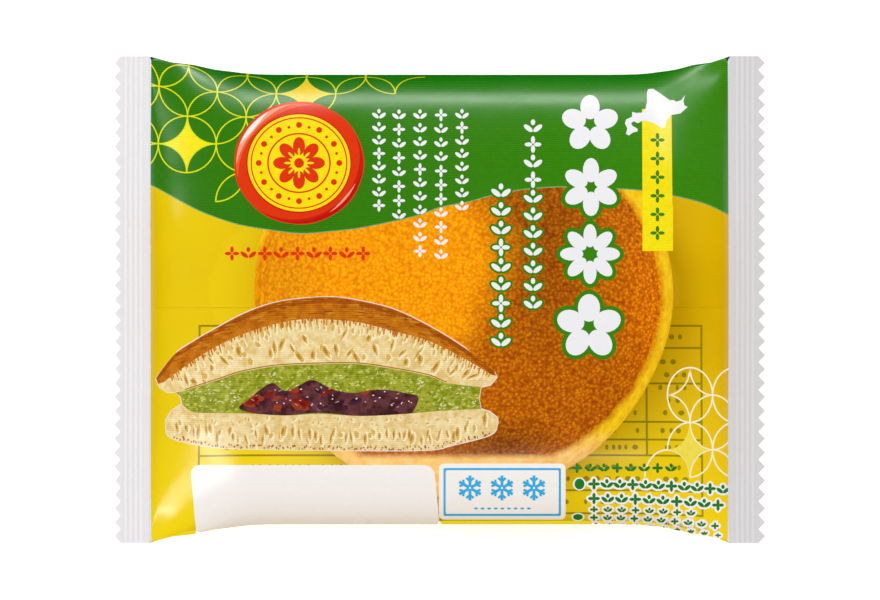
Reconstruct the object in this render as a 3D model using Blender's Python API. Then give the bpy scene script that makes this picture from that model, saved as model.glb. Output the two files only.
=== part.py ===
"""A sealed pillow pack of printed film around one round cream dorayaki, lying on its back.

The pack is one closed solid. A tube of film is flattened and crimped at both ends, where its edge is
cut into teeth, and its long seam is folded flat against the back. Between the ends the cake puffs the
tube out. Film hardly stretches, so every section of the tube keeps the girth of the flat tube: the
width and the roundness of a section are given, and its height follows from the girth.

Frame: metres, +X along the pack, +Y across it, +Z up. The origin is under the middle of the pack, on
the level of its flat underside.
"""

import math

import bmesh
import bpy
from mathutils import Vector

MM = 0.001

# Driving dimensions
PACK_LENGTH = 140.0 * MM  # over the teeth of both ends
FLAT_WIDTH = 104.7 * MM  # the tube laid flat, which is also the length of an end seal
BODY_WIDTH = 96.8 * MM  # the puffed middle, seen from above
SIDE_Z = 8.5 * MM  # height of the end seals and of the widest line between them
FRONT_RISE = 18.0 * MM  # the front above that line, before the girth settles it
BACK_DROP = 9.7 * MM  # the back below it, if there were no table to flatten it

# End seals
SEAL_DEPTH = 7.65 * MM  # from the tips of the teeth to the puffed body
TOOTH_DEPTH = 1.4 * MM
TEETH = 35
RIB_PITCH = 1.12 * MM
RIB_HEIGHT = 0.24 * MM
SHEET = 0.5 * MM  # thickness given to the two layers of film where they are sealed together
SEAL_WAVE = 0.5 * MM  # the long, low wave of a crimped end

# Run over which the pack narrows evenly from each end seal, and how softly that run ends
LEFT_RUN = 20.5 * MM
RIGHT_RUN = 16.8 * MM
RUN_SOFTNESS = 2.2 * MM
RUN_TAIL = 4 * RUN_SOFTNESS  # beyond the run, until the section is as good as full

# Shape of a section: the back is a flat lens, and the front turns from a lens into a rounded pillow
LENS_POWER, PILLOW_POWER = 2.0, 3.0
LENS_ROOT, PILLOW_ROOT = 1.0, 1.6

# Fin of the long seam, between two of the lengthwise lines of the back
FIN_FROM, FIN_TO = 17, 21
FIN_THICK = 0.5 * MM
FIN_EASE = 9.0 * MM  # width over which the back rises to make room for the fin

# Puckers where the flat ends turn into the puffed body
PUCKER_HEIGHT = 0.25 * MM
PUCKER_PEAK = 5.0 * MM  # distance from the seal at which they are highest
PUCKER_PITCH = 15.0 * MM

# How finely the film is cut
END_ROWS = 13
MIDDLE_ROWS = 4
ARC_STEPS = 80
SOLVE_STEPS = 30

TOOTH_LINE = PACK_LENGTH / 2 - TOOTH_DEPTH
SEAL_START = PACK_LENGTH / 2 - SEAL_DEPTH
TOOTH_PITCH = FLAT_WIDTH / TEETH


def opening(x):
    """How far the tube has opened at x, from 0 at a seal to 1 in the middle."""
    run = LEFT_RUN if x < 0 else RIGHT_RUN
    inside = max(SEAL_START - abs(x), 0.0)
    left_over = math.log1p(math.exp((run - inside) / RUN_SOFTNESS))
    return 1.0 - left_over / math.log1p(math.exp(run / RUN_SOFTNESS))


def blend(low, high, share):
    return low + (high - low) * share


def half_outline(x, rise):
    """Points from the middle of the front, over the +Y side, to the middle of the back."""
    share = opening(x)
    half_width = blend(FLAT_WIDTH, BODY_WIDTH, share) / 2
    power = blend(LENS_POWER, PILLOW_POWER, share)
    root = blend(LENS_ROOT, PILLOW_ROOT, share)
    points = []
    for step in range(2 * ARC_STEPS + 1):
        across = max(math.sin(math.pi / 2 * step / ARC_STEPS), 0.0)
        if step <= ARC_STEPS:
            height = SIDE_Z + rise * FRONT_RISE * (1.0 - across**power) ** (1.0 / root)
        else:
            height = SIDE_Z - rise * BACK_DROP * (1.0 - across**LENS_POWER) ** (1.0 / LENS_ROOT)
        points.append((half_width * across, max(height, 0.0)))
    return points


def length_of(points):
    return sum(math.dist(a, b) for a, b in zip(points, points[1:]))


def settled_outline(x):
    """The half outline at x whose length is that of the flat tube, found by halving."""
    low, high = 0.0, 2.0
    for _ in range(SOLVE_STEPS):
        middle = (low + high) / 2
        if length_of(half_outline(x, middle)) < FLAT_WIDTH:
            low = middle
        else:
            high = middle
    return half_outline(x, low)


def at_distance(points, distance):
    """The point at a distance along an outline."""
    for a, b in zip(points, points[1:]):
        step = math.dist(a, b)
        if distance <= step and step > 0:
            share = distance / step
            return blend(a[0], b[0], share), blend(a[1], b[1], share)
        distance -= step
    return points[-1]


def ripple(x, y, on_front):
    """Height of the ribs and the long wave on a seal, and of the puckers next to it."""
    inside = SEAL_START - abs(x)
    side = math.copysign(1.0, x)
    wave = SEAL_WAVE * math.sin(2 * math.pi * y / (0.62 * FLAT_WIDTH) + side)
    if inside <= 0:
        return wave + RIB_HEIGHT * math.sin(2 * math.pi * -inside / RIB_PITCH)
    fade = inside / PUCKER_PEAK * math.exp(1.0 - inside / PUCKER_PEAK)
    turn = side * 0.7 if on_front else 2.0
    pucker = PUCKER_HEIGHT * fade * math.cos(2 * math.pi * y / PUCKER_PITCH + turn)
    middle = max(1.0 - (2 * y / BODY_WIDTH) ** 2, 0.0)
    return wave * math.exp(-inside / PUCKER_PEAK) + pucker * middle


def room_for_fin(y):
    """How far the back stands off the table beside the fin, so that both rest on it."""
    low, high = (line * TOOTH_PITCH - FLAT_WIDTH / 2 for line in (FIN_FROM, FIN_TO))
    away = min(max(low - y, y - high, 0.0) / FIN_EASE, 1.0)
    return FIN_THICK * (1.0 - away * away * (3.0 - 2.0 * away))


def ring(x, with_fin=True):
    """One closed section: front lines from -Y to +Y, then back lines from +Y to -Y."""
    outline = settled_outline(x)

    def film(line, on_front):
        flat = line * TOOTH_PITCH - FLAT_WIDTH / 2
        along = abs(flat) if on_front else FLAT_WIDTH - abs(flat)
        y, z = at_distance(outline, along)
        y = math.copysign(y, flat)
        z += ripple(x, y, on_front) + (SHEET if on_front else -SHEET) / 2
        return y, z

    front = [Vector((x, *film(line, True))) for line in range(TEETH + 1)]
    back = []
    for line in range(TEETH, -1, -1):
        y, z = film(line, False)
        panel = Vector((x, y, max(z, room_for_fin(y))))
        fin = Vector((x, y, max(panel.z - FIN_THICK, 0.0)))
        if not with_fin:
            fin = panel.copy()
        if line == FIN_TO:
            back += [panel, fin]
        elif line == FIN_FROM:
            back += [fin, panel]
        elif FIN_FROM < line < FIN_TO:
            back.append(fin)
        else:
            back.append(panel)
    return front + back


def stations():
    """Places along X of the sections, closest together where the film bends most."""
    seal_rows = math.floor((TOOTH_LINE - SEAL_START) / (RIB_PITCH / 2))
    seal = [SEAL_START + row * RIB_PITCH / 2 + RIB_PITCH / 4 for row in range(seal_rows)]
    left = [-TOOTH_LINE] + [-place for place in reversed(seal)]
    right = seal + [TOOTH_LINE]
    shares = [(row / END_ROWS) ** 2 for row in range(END_ROWS + 1)]
    left_body = [-SEAL_START + (LEFT_RUN + RUN_TAIL) * share for share in shares]
    right_body = [SEAL_START - (RIGHT_RUN + RUN_TAIL) * share for share in reversed(shares)]
    gap = right_body[0] - left_body[-1]
    middle = [left_body[-1] + gap * row / MIDDLE_ROWS for row in range(1, MIDDLE_ROWS)]
    return left + left_body + middle + right_body + right


def add_teeth(mesh, front, back, side):
    """Closes one end with its row of teeth, from the front and back lines between them."""
    out = Vector((side * TOOTH_DEPTH, 0, 0))
    for line in range(TEETH):
        tips = [
            mesh.verts.new((layer[line].co + layer[line + 1].co) / 2 + out)
            for layer in (front, back)
        ]
        mesh.faces.new((front[line], tips[0], front[line + 1]))
        mesh.faces.new((back[line], back[line + 1], tips[1]))
        mesh.faces.new((front[line], back[line], tips[1], tips[0]))
        mesh.faces.new((front[line + 1], tips[0], tips[1], back[line + 1]))


def film_pack():
    """The whole pack as one closed mesh, lofted through its sections."""
    mesh = bmesh.new()
    places = stations()
    rings = []
    for place in places:
        at_end = abs(place) >= TOOTH_LINE
        rings.append([mesh.verts.new(point) for point in ring(place, not at_end)])
    for a, b in zip(rings, rings[1:]):
        for i, j in zip(range(len(a)), [*range(1, len(a)), 0]):
            mesh.faces.new((a[i], a[j], b[j], b[i]))
    for edge, side in ((rings[0], -1), (rings[-1], 1)):
        bmesh.ops.remove_doubles(mesh, verts=edge, dist=SHEET / 100)
        edge = [vertex for vertex in edge if vertex.is_valid]
        add_teeth(mesh, edge[: TEETH + 1], edge[:TEETH:-1], side)
    bmesh.ops.recalc_face_normals(mesh, faces=mesh.faces)
    bmesh.ops.triangulate(mesh, faces=mesh.faces)
    return mesh


def film_material():
    """Glossy printed film, in the yellow of its window."""
    material = bpy.data.materials.new("printed_film")
    material.use_nodes = True
    shader = material.node_tree.nodes["Principled BSDF"]
    shader.inputs["Base Color"].default_value = (0.86, 0.58, 0.01, 1.0)
    shader.inputs["Roughness"].default_value = 0.3
    shader.inputs["Metallic"].default_value = 0.0
    return material


def main():
    for old in list(bpy.data.objects):
        bpy.data.objects.remove(old)
    pack = bpy.data.collections.new("cream_dorayaki_pack")
    bpy.context.scene.collection.children.link(pack)
    data = bpy.data.meshes.new("film_pack")
    film = film_pack()
    film.to_mesh(data)
    film.free()
    data.shade_smooth()
    data.set_sharp_from_angle(angle=math.radians(35))
    data.materials.append(film_material())
    pack.objects.link(bpy.data.objects.new("film_pack", data))


main()
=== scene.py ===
"""The sealed film pack with the cream dorayaki inside, dressed: printed film, clear window and contents.

Metres, in the frame of the solids: +X along the pack, +Y across it, +Z up. The film is one surface over
flat film coordinates: x along the pack and s round the tube, with s = 0 on the middle line of the front.
The print is cut into the film's mesh as outlines, so every field of colour has its own faces. Outlines are
given in the pixels of an 880 x 600 picture, looking straight down, and laid on the film from there.
"""

import math
import random

import bmesh
import bpy
import numpy as np
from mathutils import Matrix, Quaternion, Vector
from mathutils.geometry import delaunay_2d_cdt


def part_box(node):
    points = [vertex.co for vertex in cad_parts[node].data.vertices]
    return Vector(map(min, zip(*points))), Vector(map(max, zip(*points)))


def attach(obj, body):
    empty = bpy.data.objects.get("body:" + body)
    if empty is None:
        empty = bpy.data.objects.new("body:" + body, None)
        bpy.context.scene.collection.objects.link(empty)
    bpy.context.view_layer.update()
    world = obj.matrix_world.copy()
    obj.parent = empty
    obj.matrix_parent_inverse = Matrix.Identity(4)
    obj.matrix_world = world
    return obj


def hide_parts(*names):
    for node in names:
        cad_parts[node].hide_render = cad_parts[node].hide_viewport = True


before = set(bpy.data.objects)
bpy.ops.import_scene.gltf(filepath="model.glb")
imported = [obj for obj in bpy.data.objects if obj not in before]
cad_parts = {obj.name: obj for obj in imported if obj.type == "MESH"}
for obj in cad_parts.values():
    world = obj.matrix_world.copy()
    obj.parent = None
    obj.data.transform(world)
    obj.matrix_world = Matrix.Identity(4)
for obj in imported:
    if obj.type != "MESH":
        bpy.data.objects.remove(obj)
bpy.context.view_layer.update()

MM = 0.001
NODE = "film_pack"
BODY = "root"
LOW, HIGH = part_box(NODE)

# The film tube, as in the solid
PACK_LENGTH = HIGH.x - LOW.x
FLAT_WIDTH = HIGH.y - LOW.y
BODY_WIDTH = 96.8 * MM
SIDE_Z = 8.5 * MM
FRONT_RISE = 18.0 * MM
BACK_DROP = 9.7 * MM
SEAL_DEPTH = 7.65 * MM
TOOTH_DEPTH = 1.4 * MM
TEETH = 35
RIB_PITCH = 1.12 * MM
RIB_HEIGHT = 0.12 * MM  # finer than in the solid, as real film shows them
RIBS = 4
RIB_MARGIN, RIB_FADE = 0.9, 0.3  # plain band beside the ribs and how softly they begin, in ribs
SEAL_WAVE = 0.5 * MM
LEFT_RUN = 20.5 * MM
RIGHT_RUN = 16.8 * MM
RUN_SOFTNESS = 2.2 * MM
LENS_POWER, PILLOW_POWER = 2.0, 3.0
LENS_ROOT, PILLOW_ROOT = 1.0, 1.6
FIN_FROM, FIN_TO = 17, 21
FIN_THICK = 0.5 * MM
FIN_EASE = 9.0 * MM
PUCKER_HEIGHT = 0.25 * MM
PUCKER_PEAK = 5.0 * MM
PUCKER_PITCH = 15.0 * MM
CREASES = 9  # at each end of the front and of the back
TOOTH_LINE = PACK_LENGTH / 2 - TOOTH_DEPTH
SEAL_START = PACK_LENGTH / 2 - SEAL_DEPTH
TOOTH_PITCH = FLAT_WIDTH / TEETH
HALF = FLAT_WIDTH / 2
FIN_EDGES = [line * TOOTH_PITCH - HALF for line in (FIN_FROM, FIN_TO)]
FRONT_REACH = HALF + 5 * MM  # how far the front's print goes, round the widest line

# The picture and its camera
PICTURE = (880, 600)
PACK_CENTRE = (439.5, 299.5)  # where the middle of the pack lies in the picture, in pixels
PIXEL = 0.215 * MM  # at the height of the pack's sides
CAMERA_HEIGHT = 1.2
SENSOR = 36.0  # width of the camera's sensor, mm

# Fineness
TABLE_ROWS = 181
TABLE_COLUMNS = 181
GRID = 1.0 * MM  # between the film's own points
SEAM_GAP = 0.1 * MM  # half the thickness of a crimped end
SHARP = 50  # degrees, beyond which an edge isn't smoothed


# The film surface


def opening(x):
    """How far the tube has opened at x, from 0 at a seal to 1 in the middle."""
    run = np.where(x < 0, LEFT_RUN, RIGHT_RUN)
    inside = np.maximum(SEAL_START - np.abs(x), 0.0)
    left_over = np.log1p(np.exp((run - inside) / RUN_SOFTNESS))
    return 1.0 - left_over / np.log1p(np.exp(run / RUN_SOFTNESS))


def half_outlines(share, rise):
    """For each section, points from the middle of the front over the side to the middle of the back."""
    share, rise = share[:, None], rise[:, None]
    turn = np.linspace(0.0, np.pi, 2 * TABLE_COLUMNS)[None, :]
    across = np.clip(np.sin(turn), 0.0, 1.0)
    half_width = (FLAT_WIDTH + (BODY_WIDTH - FLAT_WIDTH) * share) / 2
    power = LENS_POWER + (PILLOW_POWER - LENS_POWER) * share
    root = LENS_ROOT + (PILLOW_ROOT - LENS_ROOT) * share
    front = SIDE_Z + rise * FRONT_RISE * (1.0 - across**power) ** (1.0 / root)
    back = SIDE_Z - rise * BACK_DROP * (1.0 - across**LENS_POWER) ** (1.0 / LENS_ROOT)
    z = np.where(turn <= np.pi / 2, front, np.maximum(back, 0.0))
    return half_width * across, z


def film_table():
    """Width and height of the tube over place along the pack and distance from the front's middle line."""
    place = SEAL_START * np.sin(np.linspace(-np.pi / 2, np.pi / 2, TABLE_ROWS))
    share = opening(place)
    low, high = np.zeros(TABLE_ROWS), np.full(TABLE_ROWS, 2.0)
    for _ in range(32):
        middle = (low + high) / 2
        y, z = half_outlines(share, middle)
        short = np.hypot(np.diff(y), np.diff(z)).sum(1) < FLAT_WIDTH
        low, high = np.where(short, middle, low), np.where(short, high, middle)
    y, z = half_outlines(share, low)
    steps = np.hypot(np.diff(y), np.diff(z))
    along = np.concatenate([np.zeros((TABLE_ROWS, 1)), np.cumsum(steps, 1)], 1)
    along *= FLAT_WIDTH / along[:, -1:]
    even = np.linspace(0.0, FLAT_WIDTH, TABLE_COLUMNS)
    wide = np.array([np.interp(even, a, row) for a, row in zip(along, y)])
    tall = np.array([np.interp(even, a, row) for a, row in zip(along, z)])
    return wide, tall


WIDE, TALL = film_table()


def table_row(x):
    """Fractional row of the film table for places along the pack."""
    turn = np.arcsin(np.clip(x / SEAL_START, -1.0, 1.0)) / (np.pi / 2)
    return (turn + 1.0) / 2 * (TABLE_ROWS - 1)


def read_table(table, row, column):
    r = np.clip(row.astype(int), 0, TABLE_ROWS - 2)
    c = np.clip(column.astype(int), 0, TABLE_COLUMNS - 2)
    u, v = row - r, column - c
    top = table[r, c] * (1 - v) + table[r, c + 1] * v
    bottom = table[r + 1, c] * (1 - v) + table[r + 1, c + 1] * v
    return top * (1 - u) + bottom * u


def ease(t):
    t = np.clip(t, 0.0, 1.0)
    return t * t * (3.0 - 2.0 * t)


def seal_ribs(inside):
    """The ribs of a seal from -1 to 1, with a plain band on either side of them."""
    turn = -inside / RIB_PITCH
    ribbed = ease((turn - RIB_MARGIN) / RIB_FADE) * (1.0 - ease((turn - RIB_MARGIN - RIBS) / RIB_FADE))
    return -np.cos(2 * np.pi * turn) * ribbed


def creases(seed):
    """Short creases that run in from the end seals: end, place across, length, width, height and lean."""
    draw = random.Random(seed)
    made = []
    for side in (-1, 1):
        for number in range(CREASES):
            across = (-0.9 + 1.8 * (number + draw.uniform(0.1, 0.9)) / CREASES) * BODY_WIDTH / 2
            length = draw.uniform(5.0, 14.0) * MM
            width = draw.uniform(0.7, 1.6) * MM
            height = draw.uniform(0.05, 0.16) * MM * draw.choice((-1, 1))
            lean = draw.uniform(-0.25, 0.25)
            made.append((side, across, length, width, height, lean))
    return made


FRONT_CREASES = creases(3)
BACK_CREASES = creases(8)


def ripple(x, y, front):
    """Height of the ribs and the long wave on a seal, and of the puckers and creases next to it."""
    inside = SEAL_START - np.abs(x)
    side = np.sign(x)
    wave = SEAL_WAVE * np.sin(2 * np.pi * y / (0.62 * FLAT_WIDTH) + side)
    ribs = wave + RIB_HEIGHT * seal_ribs(inside)
    deep = np.maximum(inside, 0.0)
    fade = deep / PUCKER_PEAK * np.exp(1.0 - deep / PUCKER_PEAK)
    turn = side * 0.7 if front else 2.0
    pucker = PUCKER_HEIGHT * fade * np.cos(2 * np.pi * y / PUCKER_PITCH + turn)
    middle = np.maximum(1.0 - (2 * y / BODY_WIDTH) ** 2, 0.0)
    height = wave * np.exp(-deep / PUCKER_PEAK) + pucker * middle
    for end, across, length, width, high, lean in FRONT_CREASES if front else BACK_CREASES:
        off = (y - across * (1 - deep / SEAL_START) - lean * deep) / width
        run = ease(deep / (1.5 * MM)) * (1.0 - ease(deep / length))
        height = height + np.where(side == end, high * run * np.exp(-off * off), 0.0)
    return np.where(inside <= 0, ribs, height)


def room_for_fin(y):
    """How far the back stands off the table beside the fin, so that both rest on it."""
    low, high = FIN_EDGES
    away = np.maximum(np.maximum(low - y, y - high), 0.0) / FIN_EASE
    return FIN_THICK * (1.0 - ease(away))


def film(x, s, front=True):
    """Points of the film in metres, for arrays of film coordinates on the front or the back."""
    x, s = np.asarray(x, float), np.asarray(s, float)
    along = np.abs(s) if front else FLAT_WIDTH - np.abs(s)
    row, column = table_row(x), along / FLAT_WIDTH * (TABLE_COLUMNS - 1)
    y = read_table(WIDE, row, column) * np.sign(s)
    z = read_table(TALL, row, column) + ripple(x, y, front)
    if not front:
        z = np.maximum(z, room_for_fin(y))
    return np.stack([x, y, z], -1)


def film_normals(x, s, front=True, step=0.2 * MM):
    along = film(x + step, s, front) - film(x - step, s, front)
    across = film(x, s + step, front) - film(x, s - step, front)
    normal = np.cross(along, across) if front else np.cross(across, along)
    return normal / np.maximum(np.linalg.norm(normal, axis=1, keepdims=True), 1e-12)


def on_film(pixels):
    """Film coordinates (x, s) of points in the picture's pixels that the camera sees on the front."""
    pixels = np.asarray(pixels, float)
    z = np.full(len(pixels), SIDE_Z)
    for _ in range(4):
        scale = PIXEL * (CAMERA_HEIGHT - z) / (CAMERA_HEIGHT - SIDE_Z)
        x = (pixels[:, 0] - PACK_CENTRE[0]) * scale
        y = (PACK_CENTRE[1] - pixels[:, 1]) * scale
        row = table_row(x)
        r = np.clip(row.astype(int), 0, TABLE_ROWS - 2)
        u = (row - r)[:, None]
        half = math.ceil(FRONT_REACH / FLAT_WIDTH * (TABLE_COLUMNS - 1))
        widths = WIDE[r, :half] * (1 - u) + WIDE[r + 1, :half] * u
        widths = np.maximum.accumulate(widths, 1)
        c = np.clip((widths < np.abs(y)[:, None]).sum(1) - 1, 0, half - 2)
        rows = np.arange(len(c))
        gap = np.maximum(widths[rows, c + 1] - widths[rows, c], 1e-9)
        column = c + np.clip((np.abs(y) - widths[rows, c]) / gap, 0.0, 1.0)
        s = np.sign(y) * column / (TABLE_COLUMNS - 1) * FLAT_WIDTH
        z = film(x, s)[:, 2]
    return np.stack([x, s], -1)


# Outlines, in pixels


def oval(cx, cy, rx, ry=None, turn=0.0, points=None):
    ry = rx if ry is None else ry
    points = points or max(8, int(4 * math.sqrt(max(rx, ry)) + 6))
    a = np.linspace(0, 2 * np.pi, points, endpoint=False)
    x, y = rx * np.cos(a), ry * np.sin(a)
    t = math.radians(turn)
    return np.stack([cx + x * math.cos(t) - y * math.sin(t), cy + x * math.sin(t) + y * math.cos(t)], -1)


def rounded(x0, y0, x1, y1, radius, lean=0.0):
    """A box with round corners, whose lower end is moved sideways by lean."""
    points = []
    corners = ((x1, y0, -90), (x1, y1, 0), (x0, y1, 90), (x0, y0, 180))
    for x, y, start in corners:
        cx = x + (radius if x == x0 else -radius)
        cy = y + (radius if y == y0 else -radius)
        for step in range(6):
            a = math.radians(start + 18 * step)
            points.append((cx + radius * math.cos(a), cy + radius * math.sin(a)))
    points = dense(np.array(points), 12)
    points[:, 0] += lean * (points[:, 1] - y0) / (y1 - y0)
    return points


def dense(points, step=8.0):
    """The same outline with points at most a step apart, so that it bends with the film."""
    made = []
    for a, b in zip(points, np.roll(points, -1, 0)):
        count = max(1, math.ceil(np.hypot(*(b - a)) / step))
        made += [a + (b - a) * k / count for k in range(count)]
    return np.array(made)


def curve(points, closed=False, per=6):
    """A smooth curve through the points."""
    p = np.asarray(points, float)
    last = len(p) - 1

    def at(i):
        return p[i % len(p)] if closed else p[min(max(i, 0), last)]

    made = []
    for i in range(len(p) if closed else last):
        a, b, c, d = (at(i + k) for k in (-1, 0, 1, 2))
        square, cube = 2 * a - 5 * b + 4 * c - d, 3 * b - a - 3 * c + d
        for t in np.arange(per) / per:
            made.append(0.5 * (2 * b + (c - a) * t + square * t**2 + cube * t**3))
    if not closed:
        made.append(p[-1])
    return np.array(made)


def stroke(points, width):
    """The outline of an open line of the given width."""
    p = np.asarray(points, float)
    way = np.gradient(p, axis=0)
    way /= np.maximum(np.hypot(way[:, 0], way[:, 1]), 1e-9)[:, None]
    side = np.stack([-way[:, 1], way[:, 0]], -1) * width / 2
    return np.concatenate([p + side, (p - side)[::-1]])


def arc(cx, cy, rx, ry, start, end, points):
    a = np.radians(np.linspace(start, end, points))
    return np.stack([cx + rx * np.cos(a), cy + ry * np.sin(a)], -1)


def between(x, low, high):
    """The outline of the field between two lines over x."""
    lower, upper = (np.stack([x, np.zeros(len(x)) + line], -1) for line in (low, high))
    return np.concatenate([lower, upper[::-1]])


def spread(draw, low, high, count):
    """Places from low to high, one by chance in each of count equal steps."""
    for number in range(count):
        yield low + (high - low) * (number + draw.random()) / count


# The print on the front: a list of (ink, outlines in film coordinates, clip), later ones on top

FRONT = []


def ink(name, *loops, clip=None):
    """Adds a field of an ink, with its outlines in pixels."""
    lay(name, *map(on_film, loops), clip=clip)


def lay(name, *loops, clip=None):
    """Adds a field of an ink, with its outlines in film coordinates."""
    FRONT.append((name, loops, clip))


# Places in the print, in pixels
EDGE_LINE = 1.7  # bare film beside each seal
RING = 29.5  # radius of the yellow rings
RING_LINE = 1.35
STAR = (187.0, 144.0)  # middle of the filled star from which the rings are counted
LOOSE_PETAL = ((2, -2, 1), (1, -1, 3))  # arcs of the one petal that hangs below the pattern
ROSETTE = (299.0, 163.0, 65.0, 61.5)  # middle and radii
RIM_GLINTS = (  # ink, outer and inner share of the radius, and from which angle to which
    ("red_dark", 0.985, 0.9, -30, 130),
    ("red_deep", 0.985, 0.94, 0, 110),
    ("red_light", 0.97, 0.86, 165, 285),
    ("red_pale", 0.965, 0.9, 178, 262),
    ("white_print", 0.955, 0.93, 198, 240),
    ("red_pale", 0.93, 0.96, 20, 60),
)
BODY_COLUMNS = ((379, 212), (399, 222), (420, 258), (441, 262), (462, 213))  # x and lower end
BODY_TOP, BODY_SIZE = 108, 13
# x, upper and lower end, size, seed, and from where the ornaments have a green edge
NAME_COLUMNS = ((533, 118, 312, 17.5, 31, 178), (501, 182, 350, 18.5, 32, 190))
TITLE_FLOWERS = (  # middle, radius, petals, their slimness, the hole between them and the green edge
    (590, 124, 29, 5, 0.75, 0.16, 0.0),
    (591, 187, 29, 6, 0.5, 0.16, 4.2),
    (590, 254, 30, 8, 0.42, 0.22, 4.2),
    (589, 327, 33, 5, 0.75, 0.16, 4.2),
)
RED_LINE, RED_PITCH, RED_ORNAMENTS = (232, 253.5), 16.4, 9
FLAG_PARTS = (
    ((642, 109), (671.5, 109), (672.5, 205), (642.5, 205)),
    ((642.5, 205), (672.5, 205), (673, 205), (673, 251), (642.5, 251)),
)
BLANK_FIELD = (190, 465, 434, 552)
COLD_LABEL = (439, 463.5, 565.6, 519.6)
BLUE_FRAME = (443.5, 468, 561, 516)
NOTE_ROWS = (  # left and right end, height, drop to the right end, size, and whether edged in white
    (573, 675, 468, 0, 11, 0), (590, 727, 484, 6, 12, 1), (590, 722, 498.5, 7, 12, 1),
    (590, 695, 509.5, 4, 8, 1), (590, 719, 517.5, 9, 8, 1), (592, 722, 525, 11, 6, 1),
)  # fmt: skip
NOTE_PITCH = 12.4
NOTE_DOTS = ((579.5, 484, 6.6, 6.6), (578, 517, 6.6, 4.2))

# Outline of the island, from its own corner and in units of its own
ISLAND = [
    (345, 65), (380, 62), (430, 95), (500, 145), (525, 143), (545, 155), (580, 145), (608, 108),
    (597, 150), (604, 182), (627, 192), (575, 240), (510, 250), (480, 280), (460, 345), (440, 342),
    (390, 310), (340, 292), (302, 292), (272, 309), (240, 295), (222, 312), (235, 330), (268, 348),
    (270, 368), (240, 374), (205, 397), (187, 385), (195, 345), (178, 310), (187, 282), (230, 262),
    (230, 228), (262, 236), (305, 232), (325, 205), (337, 150), (335, 90),
]  # fmt: skip
ISLAND_CORNER, ISLAND_SCALE = (600, 80), 7.153  # px, and units to a pixel

# Lower edge of the green field, from the left seal to the right one
WAVE = [
    (120, 172), (150, 184), (187.5, 204.5), (208, 214), (238, 224), (270, 229.5), (300, 233), (330, 231),
    (363.5, 227), (416, 215.5), (440, 207), (470, 201), (488, 196), (516, 190), (547, 187), (570, 186.5),
    (599, 187.5), (642, 190), (672, 195), (704, 203), (729, 214.5), (760, 230),
]  # fmt: skip


def green_field():
    wave = curve(WAVE, per=4)
    flat = on_film(wave)
    top = [(x, FRONT_REACH + 2 * MM) for x in np.linspace(flat[-1, 0], flat[0, 0], 30)]
    lay("green", np.concatenate([flat, top]))
    ink("pale_green", stroke(wave[2:-2] + (0, 0.3), 1.1))


def quarter(cx, cy, rx, ry, number, width):
    """A quarter of a ring, from one of its four knots to the next."""
    return stroke(arc(cx, cy, rx, ry, 90 * number, 90 * number + 90, 11), width)


def star(cx, cy, rx, ry):
    """The four-pointed field in the middle of a ring."""
    corners = ((1, -1, 90, 180), (-1, -1, 0, 90), (-1, 1, 270, 360), (1, 1, 180, 270))
    parts = [arc(cx + i * rx, cy + j * ry, rx, ry, a, b, 11)[:-1] for i, j, a, b in corners]
    return np.concatenate(parts)


def ring_pattern():
    """Overlapping rings at the top left, laid out on the flat film."""
    x0, s0 = on_film([STAR])[0]

    def lay_flat(name, loop):
        lay(name, loop * PIXEL + (x0, s0), clip="green")

    for column, row, name in ((0, 0, "yellow_print"), (4, 2, "gold_print")):
        lay_flat(name, star(column * RING, row * RING, RING, RING))
    for column in range(-2, 9):
        for row in range(-2, 4):
            if (column + row) % 2 or x0 + (column + 1) * RING * PIXEL < -SEAL_START:
                continue
            for number in range(4):
                a = math.radians(90 * number + 45)
                reach = column + math.cos(a), row + math.sin(a)
                limit = 1.2 if row < 0 else 3.0 if row < 1 else 7.3 if reach[1] > 2 else 5.0
                drawn = reach[0] <= limit and reach[1] >= -0.8
                if drawn or (column, row, number) in LOOSE_PETAL:
                    part = quarter(column * RING, row * RING, RING, RING, number, RING_LINE)
                    lay_flat("yellow_line", part)


def lower_rings():
    """Pale rings at the lower right, squeezed where the film slopes down to the seal."""
    rx, ry = 22.6, 27.4
    cx, cy = 690.0, 395.0
    last = 729.0
    rings = {
        (0, 0): (0, 1, 2, 3), (1, 1): (0, 1, 2, 3), (2, 0): (1, 2), (0, 2): (0, 2, 3), (2, 2): (1, 2),
        (-1, 3): (2, 3), (1, 3): (2, 3),
    }  # fmt: skip
    for (column, row), numbers in rings.items():
        for number in numbers:
            loop = quarter(cx + column * rx, cy + row * ry, rx, ry, number, 1.5)
            if loop[:, 0].min() < last - 2:
                ink("cream_line", np.minimum(loop, (last, 600)))
    inner = star(cx, cy, rx, ry)
    closed = np.concatenate([inner, inner[:1]])
    ink("cream_line", *[stroke(closed[k * 10 : k * 10 + 11], 1.4) for k in range(4)])
    half = star(cx - 0.5, cy + 2 * ry, rx, ry)
    half[:, 1] = np.minimum(half[:, 1], 475)
    ink("pale_yellow", half)


def motif(name, ovals, grow=0.0):
    for cx, cy, rx, ry, turn in ovals:
        ink(name, oval(cx, cy, rx + grow, ry + grow, turn))


def blossom(cx, cy, radius, petals, slim, hole):
    """Petals round a middle, as ovals, the first of them on top."""
    made = []
    for number in range(petals):
        turn = 360 * number / petals - 90
        reach = radius * (1 + hole) / 2
        a = math.radians(turn)
        size = radius * (1 - hole) / 2
        width = min(size * slim * 1.6, math.pi * reach / petals * 0.92)
        made.append((cx + reach * math.cos(a), cy + reach * math.sin(a), size, width, turn))
    return made


def sprig(cx, cy, size):
    """A small pair of leaves with a bud."""
    return [
        (cx - 0.27 * size, cy + 0.08 * size, 0.31 * size, 0.14 * size, 38),
        (cx + 0.27 * size, cy + 0.08 * size, 0.31 * size, 0.14 * size, -38),
        (cx, cy - 0.26 * size, 0.13 * size, 0.17 * size, 0),
    ]


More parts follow.
